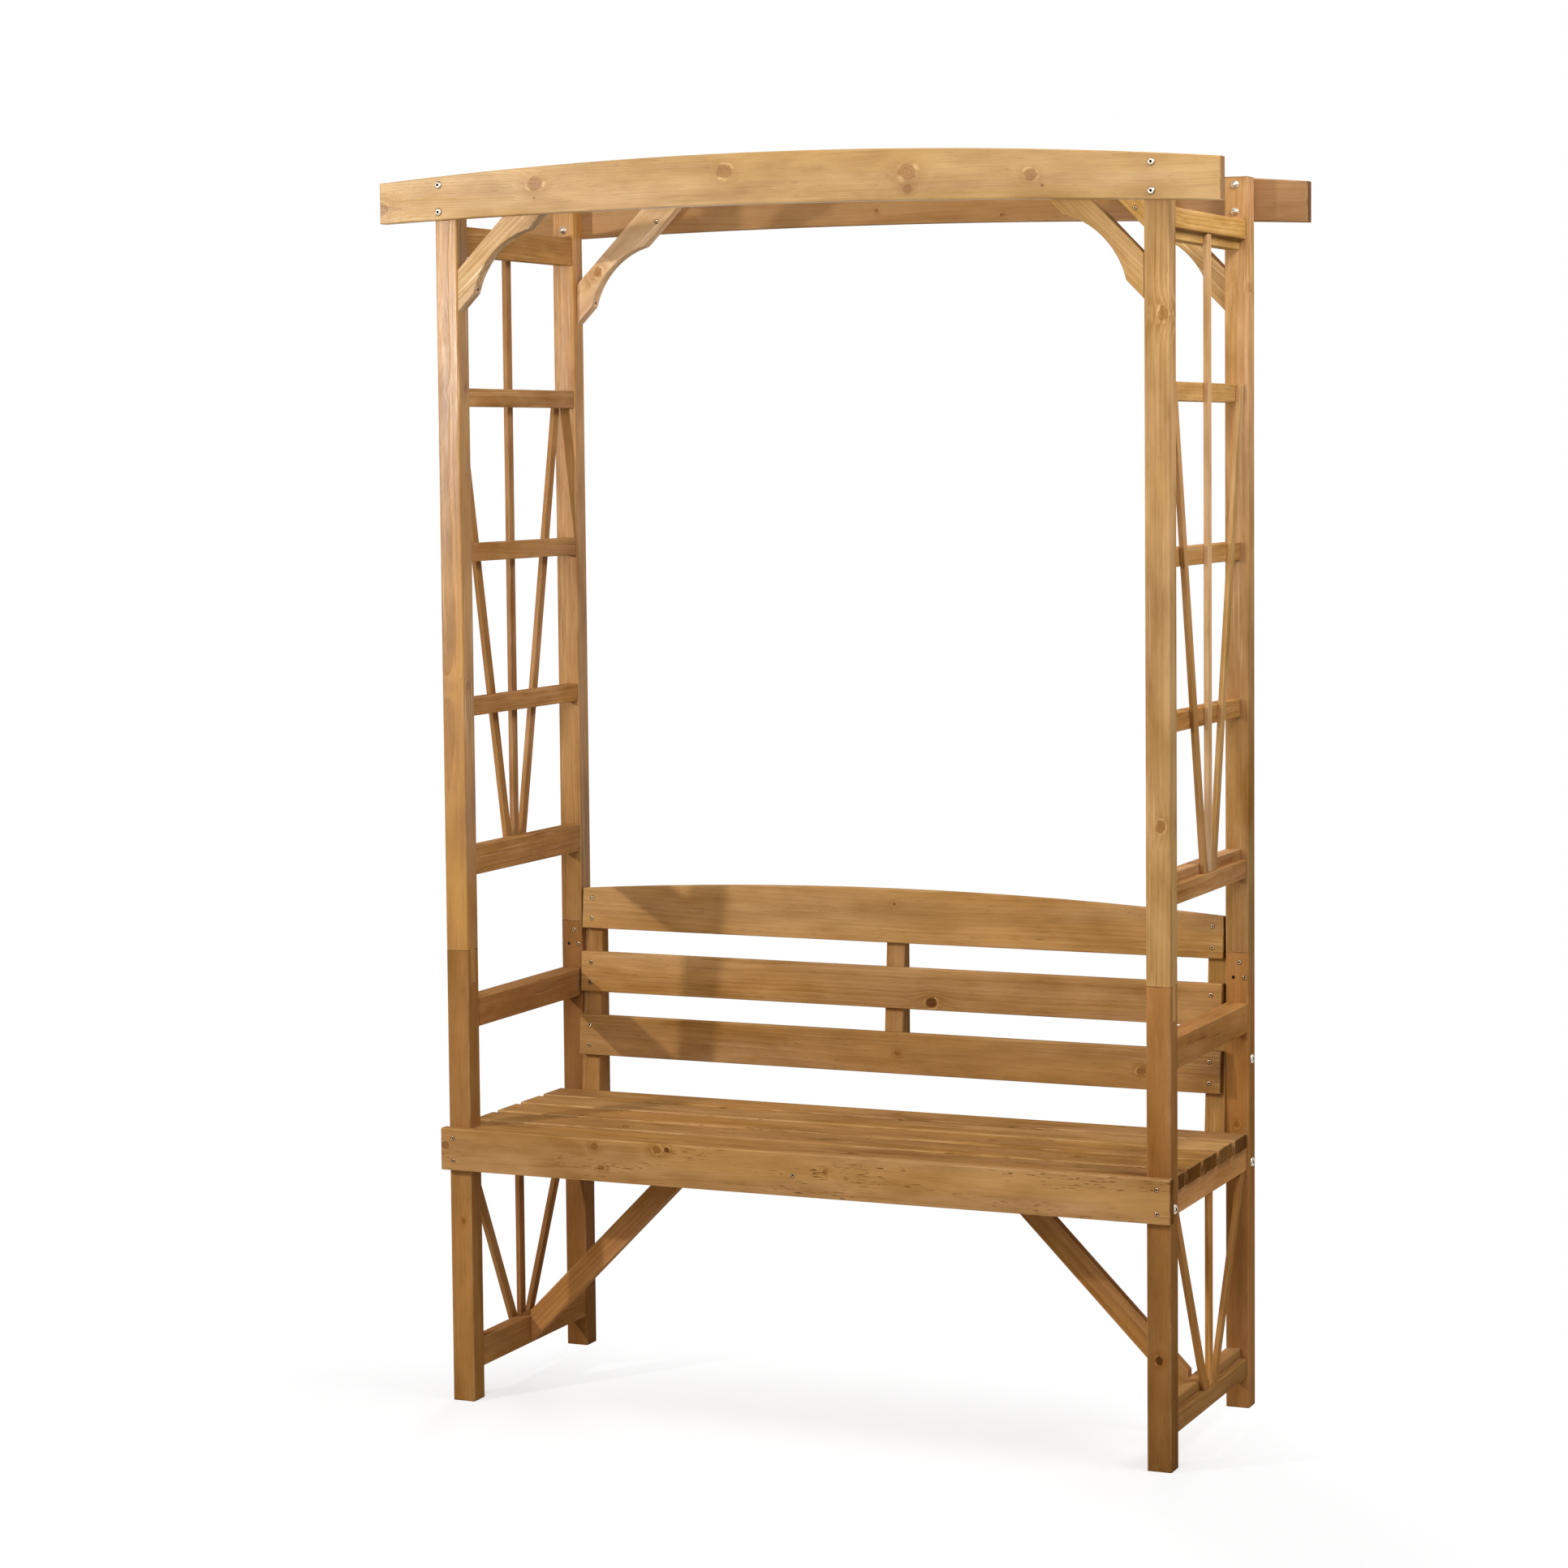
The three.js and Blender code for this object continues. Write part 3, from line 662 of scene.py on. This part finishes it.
WASHER = ((0.0060, 0.0010), (0.0064, 0.0007), (0.0064, 0.0))
CROSS = ((0.0004, 0.00003), (0.0015, 0.00006), (0.0022, 0.0003))
SCREW_RIM = (
    (0.0023, 0.00035), (0.0029, 0.00035), (0.0033, 0.00012), (0.0034, 0.00005),
    (0.0043, 0.00004), (0.0043, 0.0),
)
HOLE_RIM = ((0.0014, 0.00003), (0.0021, 0.00004), (0.0026, 0.00012), (0.0030, 0.00004), (0.0030, 0.0))


def ring(bm, radius, height, steps, turn, sides=0, cross=0.0):
    """A ring of vertices: round, with flat sides, or drawn in to a cross by the given share of its radius."""
    result = []
    for step in range(steps):
        angle = 2 * math.pi * step / steps
        reach = radius
        if sides:
            part = 2 * math.pi / sides
            reach = radius * math.cos(part / 2) / math.cos(angle % part - part / 2)
        if cross:
            reach = radius * (1 - cross + cross * math.cos(2 * angle) ** 2)
        direction = angle + turn
        result.append(bm.verts.new((reach * math.cos(direction), reach * math.sin(direction), height)))
    return result


def rings_of(bm, profile, steps, turn, size=1.0, **form):
    return [ring(bm, radius * size, height, steps, turn, **form) for radius, height in profile]


def skin(bm, rings, slots):
    """Faces between following rings, with a material slot for each band, closed at both ends."""
    for (inner, outer), slot in zip(zip(rings, rings[1:]), slots):
        for index in range(len(inner)):
            following = (index + 1) % len(inner)
            face = bm.faces.new((inner[index], outer[index], outer[following], inner[following]))
            face.material_index = slot
            face.smooth = True
    cap = bm.faces.new(rings[0])
    cap.material_index = slots[0]
    bm.faces.new(list(reversed(rings[-1]))).material_index = slots[-1]


def bolt_head(bm, turn, size=1.0):
    """A flat-domed head with a small six-sided socket painted in shade, and a line of painted shade where it
    meets the wood.
    """
    rings = rings_of(bm, SOCKET, HEXAGON_STEPS, turn, size, sides=6)
    rings += rings_of(bm, DOME, HEXAGON_STEPS, turn, size)
    skin(bm, rings, [RECESS_SHADE, RECESS_SHADE] + [STEEL] * (len(rings) - 5) + [CRUSHED_AND_SHADE, CRUSHED_AND_SHADE])


def side_bolt(bm, turn):
    """The larger head on the posts' outer faces."""
    bolt_head(bm, turn, SIDE_BOLT_SIZE)


def cap_nut(bm, turn):
    """A washer, a six-sided nut and its domed cap, as on the end of a bolt."""
    rings = rings_of(bm, CAP, HEXAGON_STEPS, turn)
    rings += rings_of(bm, NUT, HEXAGON_STEPS, turn, sides=6)
    rings += rings_of(bm, WASHER, HEXAGON_STEPS, turn)
    skin(bm, rings, [STEEL] * (len(rings) - 1))


def screw_head(bm, turn):
    """A countersunk head whose cross recess is drawn flat in painted shade, in a crushed rim of wood that it was
    driven into, darkened also as painted shade of its dimple.
    """
    rings = rings_of(bm, CROSS, ROUND_STEPS, turn, cross=CROSS_DEPTH)
    rings += rings_of(bm, SCREW_RIM, ROUND_STEPS, turn)
    skin(bm, rings, [RECESS_SHADE, RECESS_SHADE, SCREW, SCREW, SCREW, CRUSHED_AND_SHADE, CRUSHED_AND_SHADE, CRUSHED_AND_SHADE])


def pilot_hole(bm, turn):
    """A hole drawn as a flat disc of painted shade, with a slightly raised, crushed rim."""
    skin(bm, rings_of(bm, HOLE_RIM, ROUND_STEPS, turn), [RECESS_SHADE, RECESS_SHADE, CRUSHED_AND_SHADE, CRUSHED_AND_SHADE])


SURFACES = {}


def seat_on(node, place, way):
    """Where a line meets a node, as a frame with z out of the surface."""
    if node not in SURFACES:
        mesh = NODES[node].data
        points = [vertex.co for vertex in mesh.vertices]
        SURFACES[node] = BVHTree.FromPolygons(points, [polygon.vertices for polygon in mesh.polygons])
    hit, normal, _, _ = SURFACES[node].ray_cast(place - way, way)
    if hit is None:
        raise ValueError(f"no surface of {node} at {place}")
    if normal.dot(way) > 0:
        normal = -normal
    return Matrix.Translation(hit) @ normal.to_track_quat("Z", "Y").to_matrix().to_4x4()


def steel_material(name, tone, dull):
    """Zinc-plated steel, clouded between two tones, with stains and fine scratches. On the screws the tan tones
    are a painted reflection of the brown wood round them.
    """
    material, graph, shader = new_material(name)
    shader.inputs["Metallic"].default_value = 1.0
    place = graph.add("TexCoord").outputs["Object"]
    cloud = graph.noise(place, 300.0, 300.0, detail=4.0, roughness=0.6)
    clouded = graph.mix(graph.step(cloud, 0.38, 0.62), tone, dull)
    stain = graph.step(graph.noise(place, 900.0, 900.0, detail=3.0, shift=(3.0, 1.0, 2.0)), 0.6, 0.75)
    graph.put(shader.inputs["Base Color"], graph.mix(graph.times(stain, 0.5), clouded, linear(120, 104, 84)))
    graph.put(shader.inputs["Roughness"], graph.step(cloud, 0.3, 0.75, 0.22, 0.45))
    scratches = graph.noise(place, 500.0, 4200.0, detail=2.0)
    graph.bump(shader, graph.add_up(graph.times(cloud, 0.5), scratches), 0.15, 0.0002)
    return material


def plain_material(name, tone, deep):
    """Painted shade for the inside of a hole or recess, or crushed wood round a fastener, darkened also as
    painted shade of the dimple or seam round it.
    """
    material, graph, shader = new_material(name)
    place = graph.add("TexCoord").outputs["Object"]
    cloud = graph.noise(place, 700.0, 700.0, detail=3.0)
    graph.put(shader.inputs["Base Color"], graph.mix(graph.step(cloud, 0.35, 0.65), tone, deep))
    graph.put(shader.inputs["Roughness"], graph.step(cloud, 0.3, 0.7, 0.6, 0.75))
    shader.inputs["Specular IOR Level"].default_value = 0.1
    graph.bump(shader, cloud, 1.0, 0.0002)
    return material


def make_fasteners(name, kind, seats, rng):
    """One piece of the scene for a set of equal fasteners, each seated on the node that carries it."""
    mesh = bpy.data.meshes.new(name)
    bm = bmesh.new()
    for node, place, way in seats:
        before = set(bm.verts)
        kind(bm, rng.uniform(0, math.pi))
        fresh = [vertex for vertex in bm.verts if vertex not in before]
        bmesh.ops.transform(bm, matrix=seat_on(node, place, way), verts=fresh)
    bmesh.ops.recalc_face_normals(bm, faces=bm.faces)
    bm.to_mesh(mesh)
    bm.free()
    for material in FASTENER_MATERIALS:
        mesh.materials.append(material)
    piece = bpy.data.objects.new(name, mesh)
    bpy.context.scene.collection.objects.link(piece)
    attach(piece, "root")


# The pieces made of fasteners, in the order in which they are made
FASTENERS = {
    "bolt_heads_front_beam": bolt_head,
    "cap_nuts_rear_posts": cap_nut,
    "bolt_heads_rear_beam": bolt_head,
    "cap_nuts_front_posts": cap_nut,
    "bolt_heads_post_sides": side_bolt,
    "screws_post_joints": screw_head,
    "pilot_holes_post_joints": pilot_hole,
    "screws_apron": screw_head,
    "screws_back_boards": screw_head,
    "screws_knee_braces": screw_head,
    "pilot_holes_knee_braces": pilot_hole,
    "pilot_holes_seat_braces": pilot_hole,
}

# Places of fasteners in millimetres: x from the middle, y near the face that they sit on, z from the floor
OUTER_Y, INNER_Y = 230, 185
FRONT_BOLT_X, FRONT_BOLT_Z = 614, 2014.5
REAR_BOLT_X, REAR_BOLT_Z = 612.5, 2007
BOLT_SPACING = 43.5
SIDE_BOLT_X = 633
SIDE_BOLTS = (("front", -197.5, 410), ("rear", 197.5, 408), ("rear", 197.5, 580))
JOINT_X = 614
JOINT_SCREWS = ((4, 741), (13, 716))
JOINT_HOLE = (-6, 716)
APRON_SCREW_X, APRON_SCREWS_Z = 617, (446, 408)
APRON_MIDDLE_SCREW = (2, 427)
BOARD_SCREW_X, BOARD_SCREW_Y, BOARD_SCREW_RISE = 572, 130, 17.5
BOARD_MIDDLES_Z = {1: 781, 2: 668.5, 3: 559}
KNEE_SCREW = (437, 190, 1975)
KNEE_HOLE_X, KNEE_HOLES = 568, (("front", -203, 1850), ("rear", 203, 1842))
SEAT_BRACE_HOLE = (550, -10, 99)


def fastener_seats():
    """For each piece of fasteners: what carries them, places near its surface, and the way into it."""
    seats = {name: [] for name in FASTENERS}

    def seat(piece, node, x, y, z, way):
        seats[piece].append((node, mm(x, y, z), way))

    for side, sign in SIDES.items():
        front_post, rear_post = f"upper_post_front_{side}", f"upper_post_rear_{side}"
        joint_post = f"lower_post_rear_{side}"
        upwards = (sign * ALONG_X + UP).normalized()
        for drop in (0, BOLT_SPACING):
            front_z, rear_z = FRONT_BOLT_Z - drop, REAR_BOLT_Z - drop
            seat("bolt_heads_front_beam", "front_beam", FRONT_BOLT_X * sign, -OUTER_Y, front_z, ALONG_Y)
            seat("cap_nuts_front_posts", front_post, FRONT_BOLT_X * sign, -INNER_Y, front_z, -ALONG_Y)
            seat("cap_nuts_rear_posts", rear_post, REAR_BOLT_X * sign, INNER_Y, rear_z, ALONG_Y)
            seat("bolt_heads_rear_beam", "rear_beam", REAR_BOLT_X * sign, OUTER_Y, rear_z, -ALONG_Y)
        for row, y, z in SIDE_BOLTS:
            seat("bolt_heads_post_sides", f"lower_post_{row}_{side}", SIDE_BOLT_X * sign, y, z, -sign * ALONG_X)
        for x, z in JOINT_SCREWS:
            seat("screws_post_joints", joint_post, JOINT_X * sign + x, INNER_Y, z, ALONG_Y)
        x, z = JOINT_HOLE
        seat("pilot_holes_post_joints", joint_post, JOINT_X * sign + x, INNER_Y, z, ALONG_Y)
        for z in APRON_SCREWS_Z:
            seat("screws_apron", "apron", APRON_SCREW_X * sign, -OUTER_Y, z, ALONG_Y)
        x, y, z = KNEE_SCREW
        seat("screws_knee_braces", f"knee_brace_rear_{side}", x * sign, y, z, ALONG_Y)
        for row, y, z in KNEE_HOLES:
            seat("pilot_holes_knee_braces", f"knee_brace_{row}_{side}", KNEE_HOLE_X * sign, y, z, upwards)
        x, y, z = SEAT_BRACE_HOLE
        seat("pilot_holes_seat_braces", f"seat_brace_{side}", x * sign, y, z, upwards)
        for board, middle in BOARD_MIDDLES_Z.items():
            for z in (middle - BOARD_SCREW_RISE, middle + BOARD_SCREW_RISE):
                seat("screws_back_boards", f"back_board_{board}", BOARD_SCREW_X * sign, BOARD_SCREW_Y, z, ALONG_Y)
    x, z = APRON_MIDDLE_SCREW
    seat("screws_apron", "apron", x, -OUTER_Y, z, ALONG_Y)
    return seats


def add_fasteners():
    rng = random.Random(7)
    seats = fastener_seats()
    for name, kind in FASTENERS.items():
        make_fasteners(name, kind, seats[name], rng)


# Studio: white surroundings to the eye, soft light all round, one small key lamp at the left
FILL_LIGHT = 0.22
FLOOR_HALF = 9.0

# What the eye sees of the floor glows white, and less in an oval place before the seat: a pool of painted shade
# round the object, where the floor also takes its shadows
SHADED_CENTRE = (0.0, -0.75, 0.0)
SHADED_SQUASH = (0.6, 1.0, 1.0)
SHADED_EDGES = (0.35, 1.3)
SHADED_GLOW = 0.60
SHADED_TONE = (0.45, 0.45, 0.45, 1)
UNSHADED_TONE = (0.0, 0.0, 0.0, 1)

# What other light meets there is plain grey, between two tones
FLOOR_TONES = ((0.60, 0.60, 0.60, 1), (0.64, 0.64, 0.64, 1))

# Lamps: place, what they point at, size in metres and watts
LAMPS = {
    "key": ((-2.02, -2.2, 1.76), (0, 0, 1.25), (0.09, 0.09), 42),
    "front": ((0.3, -2.9, 2.0), (0, 0, 1.2), (1.5, 1.5), 36),
    "above": ((0, -1.2, 3.0), (0, 0, 0.8), (1.5, 1.0), 7),
    "right": ((1.7, -0.4, 2.9), (0, 0, 0.8), (0.9, 0.9), 35),
    "behind": ((-0.9, 2.6, 2.5), (0, 0, 1.0), (1.2, 1.2), 36),
}


def make_world():
    world = bpy.data.worlds.new("studio")
    bpy.context.scene.world = world
    world.use_nodes = True
    graph = Graph(world.node_tree)
    background = world.node_tree.nodes["Background"]
    background.inputs["Color"].default_value = (1, 1, 1, 1)
    graph.put(background.inputs["Strength"], graph.step(graph.seen(), 0.0, 1.0, FILL_LIGHT, 1.0))


def floor_material():
    """Plain grey to the light, and to the eye a white glow that thins to painted shade before the seat, with its
    shadow.
    """
    material, graph, shader = new_material("studio_floor")
    graph.tree.nodes.remove(shader)
    place = graph.add("TexCoord").outputs["Object"]
    speckle = graph.noise(place, 3.0, 3.0, detail=3.0)
    plain = graph.add("BsdfDiffuse", {"Color": graph.mix(speckle, *FLOOR_TONES)})
    reach = graph.vector("MULTIPLY", graph.vector("SUBTRACT", place, SHADED_CENTRE), SHADED_SQUASH)
    far = graph.step(graph.vector("LENGTH", reach), *SHADED_EDGES)
    faint = graph.add("BsdfDiffuse", {"Color": graph.mix(far, SHADED_TONE, UNSHADED_TONE)})
    # Less glow near the seat: painted shade round the object
    strength = graph.step(far, 0.0, 1.0, SHADED_GLOW, 1.0)
    glow = graph.add("Emission", {"Color": (1, 1, 1, 1), "Strength": strength})
    both = graph.add("AddShader", {0: faint.outputs[0], 1: glow.outputs[0]})
    shown = graph.add("MixShader", {0: graph.seen(), 1: plain.outputs[0], 2: both.outputs[0]})
    graph.put(graph.tree.nodes["Material Output"].inputs["Surface"], shown.outputs[0])
    return material


def make_floor():
    bm = bmesh.new()
    corners = ((-1, -1), (1, -1), (1, 1), (-1, 1))
    bm.faces.new([bm.verts.new((x * FLOOR_HALF, y * FLOOR_HALF, 0)) for x, y in corners])
    mesh = bpy.data.meshes.new("floor")
    bm.to_mesh(mesh)
    bm.free()
    floor = bpy.data.objects.new("floor", mesh)
    bpy.context.scene.collection.objects.link(floor)
    mesh.materials.append(floor_material())


def add_lamp(name, place, target, size, power):
    data = bpy.data.lights.new(name, "AREA")
    data.shape = "RECTANGLE"
    data.size, data.size_y = size
    data.energy = power
    lamp = bpy.data.objects.new(name, data)
    lamp.location = place
    lamp.rotation_euler = (Vector(target) - Vector(place)).to_track_quat("-Z", "Y").to_euler()
    bpy.context.scene.collection.objects.link(lamp)


bpy.context.scene.view_settings.view_transform = "Standard"
make_camera()
PINE = make_pine_group()
KNOT_SHAPE = make_knot_shape_group()
KNOT_LOOK = make_knot_look_group()
finish_timber()

# In the order of steel, painted shade in recesses, crushed wood with painted shade, and the screws' steel
FASTENER_MATERIALS = (
    steel_material("zinc_steel", linear(223, 211, 193), linear(158, 144, 124)),
    plain_material("dark_recess", linear(38, 30, 24), linear(24, 19, 15)),
    plain_material("crushed_pine", linear(96, 58, 26), linear(70, 40, 18)),
    # The screws' steel is tan: a painted reflection of the brown wood round them
    steel_material("yellow_zinc", linear(206, 174, 132), linear(132, 104, 70)),
)
add_fasteners()
make_world()
make_floor()
for name, lamp in LAMPS.items():
    add_lamp(name, *lamp)
